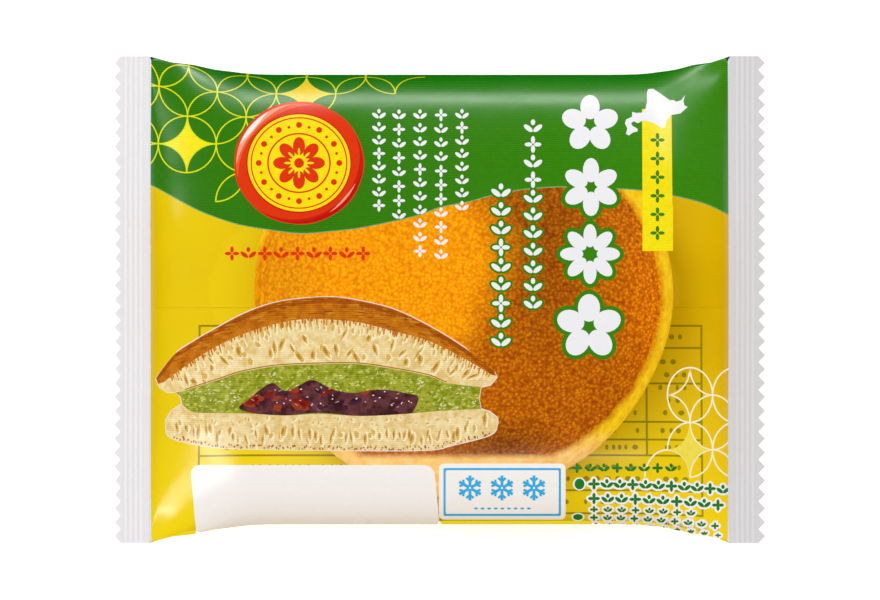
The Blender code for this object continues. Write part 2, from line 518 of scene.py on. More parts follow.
def diamond(cx, cy, size):
    """A small flower of four petals."""
    reach, slim = 0.26 * size, 0.12 * size
    ways = ((1, 0), (-1, 0), (0, 1), (0, -1))
    return [(cx + reach * i, cy + reach * j, 0.22 * size, slim, 90 * abs(j)) for i, j in ways]


def ornament_line(x, y0, y1, size, seed, edged_from=PICTURE[1]):
    """A column of small ornaments, where the pack has lettering, with a green edge beyond edged_from."""
    draw = random.Random(seed)
    count = round((y1 - y0) / (size * 1.04))
    pitch = (y1 - y0) / count
    for number in range(count):
        y = y0 + pitch * (number + 0.5)
        ovals = draw.choice((sprig, diamond, sprig))(x, y, size)
        if y > edged_from:
            motif("green", ovals, 2.2)
        motif("white_print", ovals)


def lettering_places():
    """Plain ornaments in place of the lettering."""
    for number, (x, end) in enumerate(BODY_COLUMNS):
        ornament_line(x, BODY_TOP, end, BODY_SIZE, 20 + number)
    for column in NAME_COLUMNS:
        ornament_line(*column)
    for cx, cy, radius, petals, slim, hole, edge in TITLE_FLOWERS:
        ovals = blossom(cx, cy, radius, petals, slim, hole)
        if edge:
            motif("green", ovals, edge)
            ink("green", oval(*np.mean([o[:2] for o in ovals], axis=0), 12))
        motif("white_print", ovals)
    for number in range(RED_ORNAMENTS):
        x = RED_LINE[0] + RED_PITCH * number
        motif("red_print", (sprig if number % 2 else diamond)(x, RED_LINE[1], 15))


def rosette():
    """A round red and yellow rosette in place of the seal, with the glints of a raised rim."""
    cx, cy, rx, ry = ROSETTE
    a = np.linspace(0, 2 * np.pi, 168, endpoint=False)
    wave = 1 + 0.004 * np.cos(9 * a)
    ink("red_print", np.stack([cx + rx * wave * np.cos(a), cy + ry * wave * np.sin(a)], -1))
    for name, share, inner, start, end in RIM_GLINTS:
        ink(name, arc_band(cx, cy, rx * share, ry * share, inner, start, end))
    bands = (("red_dark", 0.81), ("yellow_seal", 0.79), ("red_print", 0.745), ("yellow_seal", 0.725))
    for name, share in bands:
        ink(name, oval(cx, cy, rx * share, ry * share, points=72))
    for number in range(24):
        t = math.radians(15 * number)
        reach, size = (0.6, 1.5) if number % 2 else (0.62, 3.1)
        ink("red_print", oval(cx + rx * reach * math.cos(t), cy + ry * reach * math.sin(t), size, points=9))
    for name, share in (("red_print", 0.49), ("yellow_seal", 0.465)):
        ink(name, oval(cx, cy, rx * share, ry * share, points=56))
    motif("red_print", blossom(cx, cy, 26, 8, 0.5, 0.3))
    ink("red_print", oval(cx, cy, 5))
    motif("yellow_seal", blossom(cx, cy, 15, 8, 0.2, 0.5))


def arc_band(cx, cy, rx, ry, inner, start, end):
    """A crescent along a ring, thick in its middle and pointed at its ends."""
    count = 22
    outer = arc(cx, cy, rx, ry, start, end, count)
    t = np.sin(np.linspace(0, np.pi, count))[:, None]
    middle = np.array([cx, cy])
    inside = middle + (outer - middle) * (1 - (1 - inner) * t)
    return np.concatenate([outer, inside[::-1][1:-1]])


def flag():
    """A yellow strip under a plain white island shape."""
    for corners in FLAG_PARTS:
        ink("yellow_print", dense(np.array(corners, float)))
    for number in range(6):
        motif("green", diamond(657.5, 140 + 18.6 * number, 15))
    ink("white_print", np.array(ISLAND) / ISLAND_SCALE + ISLAND_CORNER)


# The printed picture of a halved sweet, in pixels

BUN_MIDDLE = 330
BUN_TOP = [
    (156, 378.5), (163, 368), (176, 353), (194, 341), (213, 330), (243, 314), (273, 303), (302, 298.5),
    (330, 297), (356, 300), (393, 309), (429, 326), (465, 348), (494.5, 371),
]  # fmt: skip
BUN_NOSE = [(497, 377), (490, 385), (481, 387)]
BUN_CRUMB = [
    (164, 382), (180, 370), (201, 355.5), (225, 342), (249, 332), (279, 323), (310, 319), (356, 322),
    (393, 331), (429, 341), (465, 359), (490, 374),
]  # fmt: skip
BUN_UNDER = [
    (168, 392), (180, 392), (196, 387), (218, 380), (243, 372), (279, 366), (330, 364), (362, 364.5),
    (393, 369), (429, 376), (447, 383), (481, 387),
]  # fmt: skip
LOWER_TOP = [
    (182, 404), (193, 412), (215, 413), (249, 413.6), (285, 415.5), (320, 414), (362, 416), (404, 414),
    (440, 411), (481, 409),
]  # fmt: skip
LOWER_RIGHT, LOWER_LEFT = [(490, 412), (497.5, 418)], [(166, 420), (172, 411)]
LOWER_BASE = [
    (166, 427), (170, 437), (194, 444), (225, 448), (273, 449.5), (320, 450), (368, 450.6), (429, 450),
    (453, 445), (490, 435), (498, 424),
]  # fmt: skip
BEANS = [
    (239, 408), (249, 399), (261, 389), (273, 383), (285, 391), (298, 386), (313, 380), (332, 389),
    (353, 393), (372, 390), (390, 390), (405, 393), (418, 397), (414, 410), (404, 420), (362, 417),
    (320, 413), (285, 415.5), (255, 413.6),
]  # fmt: skip


def level(line, x):
    """Height of a left-to-right line at x."""
    line = np.array(line)
    return float(np.interp(x, line[:, 0], line[:, 1]))


def blob(draw, x, y, rx, ry, turn, points):
    """An oval with an uneven outline."""
    loop = oval(x, y, rx, ry, turn, points)
    uneven = np.array([[draw.uniform(0.72, 1.22)] for _ in range(points)])
    return (loop - (x, y)) * uneven + (x, y)


def pore(draw, x, y, length, width, turn, name="crumb_pore"):
    """A hole in the crumb with its lit wall and, if it is large, its dark bottom."""
    if length > 2.0:
        ink("crumb_light", blob(draw, x + 1.1, y + 0.6, length + 1.0, width + 1.0, turn, 9), clip="crumb")
    ink(name, blob(draw, x, y, length, width, turn, 11 if length > 2.5 else 7), clip="crumb")
    if length > 4.0:
        ink("crumb_deep", oval(x - 0.5, y - 0.3, length * 0.55, width * 0.5, turn, 8), clip="crumb")


def bun_crumb(draw):
    """Pores of both halves: fine ones under the crust and larger, slanting ones inside."""
    for x in spread(draw, 176, 486, 64):
        depth = draw.uniform(3, 11)
        lean = 90 + (x - BUN_MIDDLE) / 5 + draw.uniform(-12, 12)
        pore(draw, x, level(BUN_CRUMB, x) + depth, draw.uniform(1.8, 4.6), draw.uniform(0.6, 1.5), lean)
    for x in spread(draw, 182, 478, 40):
        top, bottom = level(BUN_CRUMB, x) + 12, level(BUN_UNDER, x) - 5
        if bottom - top < 4:
            continue
        lean = 90 + (x - BUN_MIDDLE) / 4 + draw.uniform(-35, 35)
        pore(draw, x, draw.uniform(top, bottom), draw.uniform(3.0, 8.5), draw.uniform(1.3, 3.2), lean)
    for x in spread(draw, 174, 490, 56):
        y = level(LOWER_BASE, x) - draw.uniform(8, 19)
        pore(draw, x, y, draw.uniform(2.6, 7.5), draw.uniform(1.0, 2.4), 90 + draw.uniform(-16, 16))
    for x in spread(draw, 190, 470, 60):
        y = level(LOWER_TOP, x) + draw.uniform(3, 13)
        pore(draw, x, y, draw.uniform(0.8, 2.4), draw.uniform(0.5, 1.3), draw.uniform(0, 180))
    for x in spread(draw, 172, 492, 110):
        y = level(LOWER_BASE, x) - draw.uniform(0.0, 4.0)
        size = draw.uniform(0.9, 1.9), draw.uniform(0.5, 1.1)
        pore(draw, x, y, *size, draw.uniform(50, 130), "crust_spot")


def matcha_flecks(draw):
    for _ in range(520):
        x = draw.uniform(183, 479)
        y = draw.uniform(level(BUN_UNDER, x) + 1.5, level(LOWER_TOP, x) - 1.5)
        name = draw.choice(("matcha_light", "matcha_light", "matcha_dark", "matcha_dark", "matcha_white"))
        small = 0.6 if name == "matcha_white" else 1.0
        size = draw.uniform(0.9, 3.2) * small, draw.uniform(0.5, 1.3) * small
        ink(name, oval(x, y, *size, draw.choice((-45, -25, 0, 30)), 7), clip="matcha")


def bean_lumps(draw):
    """Whole beans in the paste, redder on the left and darker on the right."""
    for number in range(60):
        x = draw.uniform(246, 414)
        y = draw.uniform(388, 414)
        red = draw.random() > (x - 250) / 120
        name = draw.choice(("bean_red", "bean_amber") if red else ("bean_dark", "bean", "bean_plum"))
        turn = draw.uniform(-40, 40)
        rx, ry = draw.uniform(3, 7.5), draw.uniform(1.8, 3.8)
        ink(name, oval(x, y, rx, ry, turn, 11), clip="bean")
        if draw.random() < 0.6:
            ink("bean_light", oval(x - 1, y - ry * 0.5, rx * 0.35, 0.55, turn, 7), clip="bean")
    for _ in range(30):
        x, y = draw.uniform(250, 412), draw.uniform(387, 406)
        size = draw.uniform(0.6, 1.4), draw.uniform(0.4, 0.7)
        ink("halo", oval(x, y, *size, draw.uniform(-60, 60), 6), clip="bean")


def halved_sweet():
    """Two sponge halves, cream and bean paste, as plain fields of colour with small marks in them."""
    draw = random.Random(12)
    top, under = curve(BUN_TOP), curve(BUN_UNDER)
    upper = np.concatenate([top, BUN_NOSE, under[::-1], [(160, 387)]])
    lower = np.concatenate([curve(LOWER_TOP), LOWER_RIGHT, curve(LOWER_BASE)[::-1], LOWER_LEFT])
    cream = np.concatenate([under[4:], [(479, 398), (481, 409)], curve(LOWER_TOP)[::-1], [(181, 397)]])
    for outline in (upper, lower, cream):
        middle = outline.mean(0)
        ink("halo", outline + np.sign(outline - middle) * 0.7)
    ink("matcha", cream)
    matcha_flecks(draw)
    ink("bean", curve(BEANS, closed=True))
    bean_lumps(draw)
    ink("crumb", upper)
    ink("crumb", lower)
    bun_crumb(draw)
    ink("crust_print", np.concatenate([top, [(496, 376)], curve(BUN_CRUMB)[::-1], [(158, 384)]]))
    for x in spread(draw, 170, 490, 120):
        size = draw.uniform(1.5, 5.0), draw.uniform(0.5, 1.2)
        name = draw.choice(("crust_light", "crust_print"))
        y = level(BUN_CRUMB, x) + draw.uniform(-1, 2.5)
        ink(name, oval(x, y, *size, 90 + (x - BUN_MIDDLE) / 8, 7))
    shaded = np.concatenate([top + (0, 1), (top + (0, 6))[::-1]])[:-4]
    ink("crust_print_dark", shaded, clip="crust_print")
    for _ in range(150):
        x = draw.uniform(170, 488)
        y = draw.uniform(level(BUN_TOP, x) + 1, level(BUN_CRUMB, x) - 2)
        name = draw.choice(("crust_print_dark", "crust_light", "crust_print"))
        size = draw.uniform(2.0, 7.0), draw.uniform(0.4, 1.0)
        ink(name, oval(x, y, *size, (x - BUN_MIDDLE) / 7, 7), clip="crust_print")
    ink("crust_spot", stroke(under[8:-6] - (0, 1.2), 1.0), clip="crumb")


def labels():
    """A blank white field, and a white label with a blue frame and snowflakes."""
    ink("white_label", rounded(*BLANK_FIELD, 10, 8))
    ink("white_label", rounded(*COLD_LABEL, 5))
    x0, y0, x1, y1 = BLUE_FRAME
    ink("blue_print", *[rounded(x0 + g, y0 + g, x1 - g, y1 - g, 1.5) for g in (0, 2.2)])
    for cx in (470, 502, 534):
        snowflake(cx, 488, 12.5)
    for number in range(9):
        ink("blue_print", oval(476 + 6.6 * number, 508.5, 2.1, 1.1, points=8))


def snowflake(cx, cy, radius):
    for number in range(6):
        a = math.radians(60 * number + 30)
        way = np.array([math.cos(a), math.sin(a)])
        middle = np.array([cx, cy])
        ink("blue_print", stroke([middle + way, middle + way * radius], 3.0))
        for turn in (-50, 50):
            b = a + math.radians(turn)
            start = middle + way * radius * 0.55
            end = start + np.array([math.cos(b), math.sin(b)]) * radius * 0.4
            ink("blue_print", stroke([start, end], 2.4))


def notes():
    """Rows of small green ornaments, most of them with white edges, that bend down to the right."""
    for x0, x1, y, drop, size, edged in NOTE_ROWS:
        count = int((x1 - x0) / NOTE_PITCH)
        for name, grow in (("white_label", 2.2), ("deep_green", 0.2))[1 - edged :]:
            for number in range(count):
                x = x0 + 4 + (x1 - x0 - 8) * number / (count - 1)
                at = y + drop * ((x - x0) / (x1 - x0)) ** 2
                ovals = (sprig if number % 3 else diamond)(x, at, size)
                low = min(size, 10) / 11
                motif(name, [(cx, at + (cy - at) * low, *rest) for cx, cy, *rest in ovals], grow)
    for cx, cy, rx, ry in NOTE_DOTS:
        ink("white_label", oval(cx, cy, rx, ry))
        ink("deep_green", oval(cx, cy, rx - 1.6, ry - 1.1))


def edge_lines():
    """Narrow lines of bare pale film where the print stops at the seals."""
    s = np.linspace(-FRONT_REACH - MM, FRONT_REACH + MM, 60)
    for side in (-1, 1):
        loop = between(s, side * (SEAL_START - EDGE_LINE * PIXEL), side * (SEAL_START + MM))
        lay("pale_edge", loop[:, ::-1])


def near_side():
    """The yellow of the back, which begins on the near side's widest line."""
    x = np.linspace(-SEAL_START - MM, SEAL_START + MM, 60)
    lay("back_yellow", between(x, -FRONT_REACH - MM, 0.3 * MM - HALF))


def front_print():
    near_side()
    green_field()
    ring_pattern()
    lower_rings()
    flag()
    rosette()
    lettering_places()
    halved_sweet()
    labels()
    notes()
    edge_lines()


# Cutting a print into the film


def inside(loop, points):
    """Which of the points lie inside a closed outline, by counting how often it is crossed."""
    a, b = loop, np.roll(loop, -1, 0)
    x, y = points[:, :1], points[:, 1:]
    spans = (a[:, 1] > y) != (b[:, 1] > y)
    height = np.where(b[:, 1] == a[:, 1], 1.0, b[:, 1] - a[:, 1])
    crossing = a[:, 0] + (y - a[:, 1]) / height * (b[:, 0] - a[:, 0])
    return ((x < crossing) & spans).sum(1) % 2 == 1


def cut_film(shapes, base, reach):
    """Triangles over the flat film, in film coordinates, each with the ink that lies on top there."""
    xs = np.linspace(-SEAL_START, SEAL_START, round(2 * SEAL_START / GRID) + 1)
    ss = np.linspace(-reach, reach, round(2 * reach / GRID) + 1)
    points = [(x / MM, s / MM) for x in xs for s in ss]
    edges = []
    for _, loops, _ in shapes:
        for loop in loops:
            inner = np.clip(loop, (xs[0], ss[0]), (xs[-1], ss[-1])) / MM
            start, count = len(points), len(inner)
            points += [tuple(p) for p in inner]
            edges += [(start + k, start + (k + 1) % count) for k in range(count)]
    out, _, triangles, *_ = delaunay_2d_cdt([Vector(p) for p in points], edges, [], 0, 1e-4, False)
    flat = np.array([(v.x, v.y) for v in out]) * MM
    triangles = np.array(triangles)
    middles = flat[triangles].mean(1)
    inks = np.full(len(triangles), base, dtype=object)
    under = {}
    for name, loops, clip in shapes:
        covered = np.zeros(len(triangles), bool)
        for loop in loops:
            low, high = loop.min(0), loop.max(0)
            near = np.flatnonzero(((middles > low) & (middles < high)).all(1))
            covered[near] ^= inside(loop, middles[near])
        if clip:
            covered &= under[clip]
        inks[covered] = name
        under[name] = under.get(name, False) | covered
    return flat, triangles, inks


def film_piece(name, cut, wanted, front):
    """A mesh of the triangles whose ink is wanted, laid on the film, with smooth normals."""
    flat, triangles, inks = cut
    picked = [(t, i) for t, i in zip(triangles, inks) if wanted(i)]
    used = sorted({v for t, _ in picked for v in t})
    index = {v: k for k, v in enumerate(used)}
    x, s = flat[used, 0], flat[used, 1]
    faces = []
    for triangle, _ in picked:
        a, b, c = (index[v] for v in triangle)
        area = (x[b] - x[a]) * (s[c] - s[a]) - (x[c] - x[a]) * (s[b] - s[a])
        faces.append((a, b, c) if (area > 0) == front else (a, c, b))
    mesh = bpy.data.meshes.new(name)
    mesh.from_pydata(film(x, s, front).tolist(), [], faces)
    slots = {ink_name: k for k, ink_name in enumerate(sorted({i for _, i in picked}))}
    for ink_name in slots:
        mesh.materials.append(film_material(ink_name))
    mesh.polygons.foreach_set("material_index", [slots[i] for _, i in picked])
    layer = mesh.uv_layers.new(name="OFBake")
    loops = np.array(faces).ravel()
    u = (x[loops] + SEAL_START) / (2 * SEAL_START)
    v = (s[loops] + FRONT_REACH) / (2 * SEAL_START)
    layer.data.foreach_set("uv", np.stack([u, v], -1).ravel())
    mesh.shade_smooth()
    mesh.normals_split_custom_set_from_vertices(film_normals(x, s, front).tolist())
    mesh.update()
    return add_piece(name, mesh)


def show(name, data):
    """A new object in the scene."""
    made = bpy.data.objects.new(name, data)
    bpy.context.scene.collection.objects.link(made)
    return made


def add_piece(name, data):
    piece = show(name, data)
    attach(piece, BODY)
    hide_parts(NODE)
    return piece


def solid_piece(name, mesh, material, sharp=None):
    """A piece of a finished mesh, smooth apart from edges that turn by more than sharp degrees."""
    bmesh.ops.recalc_face_normals(mesh, faces=mesh.faces)
    data = bpy.data.meshes.new(name)
    mesh.to_mesh(data)
    mesh.free()
    data.materials.append(material)
    data.shade_smooth()
    if sharp:
        data.set_sharp_from_angle(angle=math.radians(sharp))
    return add_piece(name, data)


# Materials

INK_STRENGTH = 0.88
PRINT_LINE = 0.43 * MM  # pitch of the fine printed lines
SIDE_SHADE_TINT = (0.86, 0.79, 0.68)  # painted shade of a plain ink, where the film turns down
SIDE_SHADE_STOPS = ((0.45, 0.0), (0.6, 0.1), (0.75, 0.45), (0.87, 1.0))  # steepness and share of that painted shade
GLOSS_ROUGHNESS = 0.26
GLOSS_LEVEL = 0.1
FILM_DENT = 0.12 * MM  # depth of the film's fine unevenness
WINDOW_SHINE = 0.006  # share that the clear film mirrors where it faces the eye
WINDOW_EDGE_SHINE = 0.3


def linear(*rgb):
    """A linear colour from display values of 0 to 255."""
    made = [c / 255 / 12.92 if c <= 10.3 else ((c / 255 + 0.055) / 1.055) ** 2.4 for c in rgb]
    return (*made, 1.0)


def grey(value):
    return (value, value, value, 1.0)


class Nodes:
    """Short names for making a material's nodes. A value is a number, a colour or another node's output."""

    def __init__(self, name):
        self.material = bpy.data.materials.new(name)
        self.material.use_nodes = True
        self.tree = self.material.node_tree
        self.shader = self.tree.nodes["Principled BSDF"]
        self.place = self.add("ShaderNodeTexCoord").outputs["Object"]

    def put(self, value, socket):
        if isinstance(value, bpy.types.NodeSocket):
            self.tree.links.new(value, socket)
        else:
            socket.default_value = value

    def add(self, kind, *values, **settings):
        """A node, given values for its first inputs and values by name for its settings and inputs."""
        node = self.tree.nodes.new(kind)
        for key, value in settings.items():
            if key in node.inputs:
                self.put(value, node.inputs[key])
            else:
                setattr(node, key, value)
        for value, socket in zip(values, node.inputs):
            self.put(value, socket)
        return node

    def shade(self, **values):
        """Sets inputs of the shader, whose names have _ for a space here."""
        for name, value in values.items():
            self.put(value, self.shader.inputs[name.replace("_", " ")])

    def noise(self, scale, detail=3.0, roughness=0.6):
        settings = {"Scale": scale, "Detail": detail, "Roughness": roughness}
        return self.add("ShaderNodeTexNoise", self.place, **settings).outputs["Fac"]

    def axis(self, name, source=None):
        source = self.place if source is None else source
        return self.add("ShaderNodeSeparateXYZ", source).outputs[name]

    def math(self, operation, *values):
        return self.add("ShaderNodeMath", *values, operation=operation).outputs[0]

    def sum(self, value, factor, more):
        """value * factor + more."""
        return self.math("MULTIPLY_ADD", value, factor, more)

    def range(self, value, low, high, to_low=0.0, to_high=1.0):
        return self.add("ShaderNodeMapRange", value, low, high, to_low, to_high).outputs["Result"]

    def vary(self, noise, low, high):
        """A number between low and high, by a noise."""
        return self.range(noise, 0.3, 0.7, low, high)

    def ramp(self, value, *stops):
        node = self.add("ShaderNodeValToRGB", value)
        elements = node.color_ramp.elements
        while len(elements) < len(stops):
            elements.new(0.5)
        for element, (place, colour) in zip(elements, stops):
            element.position = place
            element.color = colour
        return node.outputs["Color"]

    def speckle(self, noise, dark, light):
        """A colour between dark and light, by a noise."""
        return self.ramp(noise, (0.3, linear(*dark)), (0.7, linear(*light)))

    def mix(self, share, a, b, blend="MIX"):
        node = self.add("ShaderNodeMix", share, data_type="RGBA", blend_type=blend)
        self.put(a, node.inputs[6])
        self.put(b, node.inputs[7])
        return node.outputs[2]

    def scale(self, colour, factor):
        return self.add("ShaderNodeVectorMath", colour, operation="SCALE", Scale=factor).outputs[0]

    def bump(self, height, strength, distance):
        settings = {"Strength": strength, "Distance": distance, "Height": height}
        return self.add("ShaderNodeBump", **settings).outputs["Normal"]

    def side_shade_tint(self, deepest_shade, plain=(1.0, 1.0, 1.0)):
        """Painted shade: a tint that deepens where the film turns down at the pack's long sides."""
        normal = self.add("ShaderNodeNewGeometry").outputs["Normal"]
        stops = []
        for at, share in SIDE_SHADE_STOPS:
            tint = tuple(a + (b - a) * share for a, b in zip(plain, deepest_shade))
            stops.append((at, (*tint, 1.0)))
        return self.ramp(self.math("ABSOLUTE", self.axis("Y", normal)), *stops)


def ink_colour(rgb):
    return (*(c * INK_STRENGTH for c in linear(*rgb)[:3]), 1.0)


def ink_material(name, rgb, lines=0.1, mottle=0.05, side=SIDE_SHADE_TINT, right=None, second=None, grain=700.0):
    """An ink on the film: fine printed lines, a faint mottle and the film's gloss.

    side is its painted shade where the film turns down, right its colour at the pack's right end, and
    second a colour that it is clouded with, in clouds of a size set by grain.
    """
    n = Nodes(name)
    colour = ink_colour(rgb)
    if right:
        colour = n.mix(n.range(n.axis("X"), -SEAL_START, SEAL_START), colour, ink_colour(right))
    if second:
        colour = n.mix(n.range(n.noise(grain, 4.0, 0.65), 0.38, 0.62), colour, ink_colour(second))
    bands = {"wave_type": "BANDS", "bands_direction": "Y", "Scale": 2 * math.pi / 20 / PRINT_LINE}
    wave = n.add("ShaderNodeTexWave", n.place, **bands, Distortion=0.0)
    lined = n.mix(1.0, colour, n.mix(wave.outputs["Fac"], grey(1 - 2 * lines), grey(1.0)), "MULTIPLY")
    mottled = n.scale(lined, n.vary(n.noise(900.0, 2.0), 1 - mottle, 1 + mottle))
    # The base colour darkens where the film turns down: painted shade
    n.shade(
        Base_Color=n.mix(1.0, mottled, n.side_shade_tint(side), "MULTIPLY"),
        Roughness=n.vary(n.noise(60.0, 2.0), GLOSS_ROUGHNESS - 0.04, GLOSS_ROUGHNESS + 0.05),
        Specular_IOR_Level=GLOSS_LEVEL,
        Normal=n.bump(n.noise(220.0), 0.25, FILM_DENT),
    )
    return n.material


def window_material(name):
    """Clear film: it lets nearly everything through and mirrors a little."""
    n = Nodes(name)
    # The clear colour darkens where the film turns down at the long sides: painted shade
    clear = n.add("ShaderNodeBsdfTransparent", n.side_shade_tint((0.78, 0.74, 0.5), (1.0, 0.98, 0.9)))
    settings = {
        "Roughness": n.vary(n.noise(60.0, 2.0), 0.17, 0.24),
        "Normal": n.bump(n.noise(160.0), 0.3, FILM_DENT),
    }
    shine = n.add("ShaderNodeBsdfGlossy", grey(1.0), **settings)
    steep = n.math("POWER", n.add("ShaderNodeLayerWeight", 0.5).outputs["Facing"], 5.0)
    share = n.range(steep, 0.0, 1.0, WINDOW_SHINE, WINDOW_EDGE_SHINE)
    mixer = n.add("ShaderNodeMixShader", share, clear.outputs[0], shine.outputs[0])
    n.put(mixer.outputs[0], n.tree.nodes["Material Output"].inputs["Surface"])
    n.tree.nodes.remove(n.shader)
    return n.material


def back_yellow_material(name):
    """The yellow back of the pack, seen from inside through the window, warmer at the upper right."""
    n = Nodes(name)
    shift = n.range(n.sum(n.axis("Y"), 1.2, n.axis("X")), -10 * MM, 45 * MM)
    n.shade(
        Base_Color=n.mix(shift, linear(233, 208, 0), linear(222, 187, 0)),
        Roughness=0.35,
        Specular_IOR_Level=GLOSS_LEVEL,
        Normal=n.bump(n.noise(160.0), 0.25, FILM_DENT),
    )
    return n.material


# Each ink's colour, then the depth of its lines and of its mottle where they aren't as usual
INKS = {
    "green": ((50, 128, 4), 0.13),
    "pale_green": ((120, 176, 110),),
    "deep_green": ((26, 126, 44), 0.02),
    "yellow_line": ((222, 226, 8), 0.03),
    "yellow_print": ((253, 232, 6), 0.04),
    "yellow_seal": ((250, 226, 4), 0.03),
    "gold_print": ((246, 212, 20), 0.04),
    "pale_yellow": ((247, 226, 80), 0.02),
    "cream_line": ((255, 246, 214), 0.02),
    "white_print": ((240, 239, 242), 0.01, 0.01),
    "white_label": ((249, 243, 238), 0.01, 0.01),
    "red_print": ((228, 52, 2), 0.04),
    "red_dark": ((206, 22, 2), 0.04),
    "red_deep": ((194, 8, 2), 0.04),
    "red_light": ((238, 96, 50), 0.03),
    "red_pale": ((246, 160, 128), 0.02),
    "blue_print": ((52, 176, 226), 0.02),
    "halo": ((240, 225, 214), 0.03),
    "matcha": ((182, 184, 62),),
    "matcha_light": ((204, 202, 106), 0.08),
    "matcha_white": ((238, 236, 206), 0.05),
    "matcha_dark": ((132, 144, 8),),
    "bean": ((118, 62, 66), 0.08),
    "bean_red": ((164, 40, 22), 0.12),
    "bean_dark": ((84, 44, 60),),
    "bean_plum": ((104, 56, 66),),
    "bean_amber": ((160, 62, 30),),
    "bean_light": ((196, 140, 136), 0.06),
    "crumb": ((250, 228, 172), 0.06),
    "crumb_light": ((252, 236, 190), 0.05),
    "crumb_pore": ((226, 182, 88), 0.08),
    "crumb_deep": ((196, 136, 40), 0.08),
    "crust_print": ((216, 130, 8), 0.14),
    "crust_print_dark": ((188, 96, 4), 0.14),
    "crust_light": ((216, 138, 32),),
    "crust_spot": ((170, 104, 20),),
    "pale_edge": ((226, 228, 246), 0.0, 0.01),
    "back_line": ((160, 150, 0), 0.0, 0.02),
}
# side: an ink's painted shade where the film turns down, deepest for the green at its upper edge
INK_EXTRAS = {
    "green": {"side": (0.15, 0.8, 0.1), "right": (62, 145, 8)},
    "matcha": {"second": (132, 144, 2), "grain": 800.0},
    "bean": {"second": (66, 28, 34), "grain": 420.0},
    "bean_red": {"second": (108, 14, 10), "grain": 600.0},
    "bean_dark": {"second": (54, 24, 36), "grain": 600.0},
    "crumb": {"second": (232, 198, 122), "grain": 520.0},
    "crust_print": {"second": (192, 100, 0), "grain": 500.0},
    "crust_print_dark": {"second": (162, 74, 0), "grain": 500.0},
}
UNPRINTED = {"window": window_material, "back_yellow": back_yellow_material}


def film_material(name):
    """The material of a field of the film, made once."""
    known = bpy.data.materials.get(name)
    if known:
        return known
    if name in UNPRINTED:
        return UNPRINTED[name](name)
    return ink_material(name, *INKS[name], **INK_EXTRAS.get(name, {}))


def seal_material(name, low, high):
    """White heat-sealed film with a fine grain, and painted shade between its ribs."""
    n = Nodes(name)
    spots = n.noise(700.0)
    along = n.math("ABSOLUTE", n.axis("X"))
    turn = 2 * math.pi / RIB_PITCH
    wave = n.math("COSINE", n.sum(along, turn, -turn * SEAL_START))
    first = SEAL_START + RIB_MARGIN * RIB_PITCH
    last = first + RIBS * RIB_PITCH
    fade = RIB_FADE * RIB_PITCH
    begun, ended = (n.range(along, x, x + fade) for x in (first, last))
    ribbed = n.math("SUBTRACT", begun, ended)
    rib = n.math("MULTIPLY", n.range(wave, 1.0, -1.0, -0.15, 1.0), ribbed)
    # The film's grain, with painted shade between the ribs
    grain_and_rib_shade = n.sum(spots, 0.25, n.math("MULTIPLY", rib, 0.75))
    n.shade(
        Base_Color=n.ramp(grain_and_rib_shade, (0.05, linear(*low)), (0.95, linear(*high))),
        Roughness=n.vary(n.noise(300.0), 0.38, 0.5),
        Specular_IOR_Level=GLOSS_LEVEL,
        Normal=n.bump(spots, 0.06, 0.05 * MM),
    )
    return n.material


def sponge_grain(n):
    """Fine grains of browned sponge, 0 in the gaps between them and about 1 on top."""
    warp = n.add("ShaderNodeTexNoise", n.place, Scale=700.0, Detail=2.0).outputs["Color"]
    shift = n.add("ShaderNodeVectorMath", warp, (0.7 * MM,) * 3, n.place, operation="MULTIPLY_ADD")
    cells = n.add("ShaderNodeTexVoronoi", shift.outputs[0], feature="F1", Randomness=1.0, Scale=1350.0)
    grain = n.range(cells.outputs["Distance"], 0.05, 0.8, 1.0, 0.0)
    return n.sum(grain, 0.55, n.math("MULTIPLY", n.noise(1500.0, 2.0), 0.55))


def ellipse_distance(n, centre, radii):
    """0 in the middle of an ellipse seen from above, 1 on it."""
    settings = {
        "Location": (-centre[0] / radii[0], -centre[1] / radii[1], 0),
        "Scale": (1 / radii[0], 1 / radii[1], 0.0),
    }
    shifted = n.add("ShaderNodeMapping", n.place, **settings)
    return n.add("ShaderNodeVectorMath", shifted.outputs[0], operation="LENGTH").outputs["Value"]


def shades(n, value, *colours):
    """A ramp over brown or gold sponge, from its gaps to the tops of its grains."""
    return n.ramp(value, *zip((0.2, 0.5, 0.85), (linear(*rgb) for rgb in colours)))


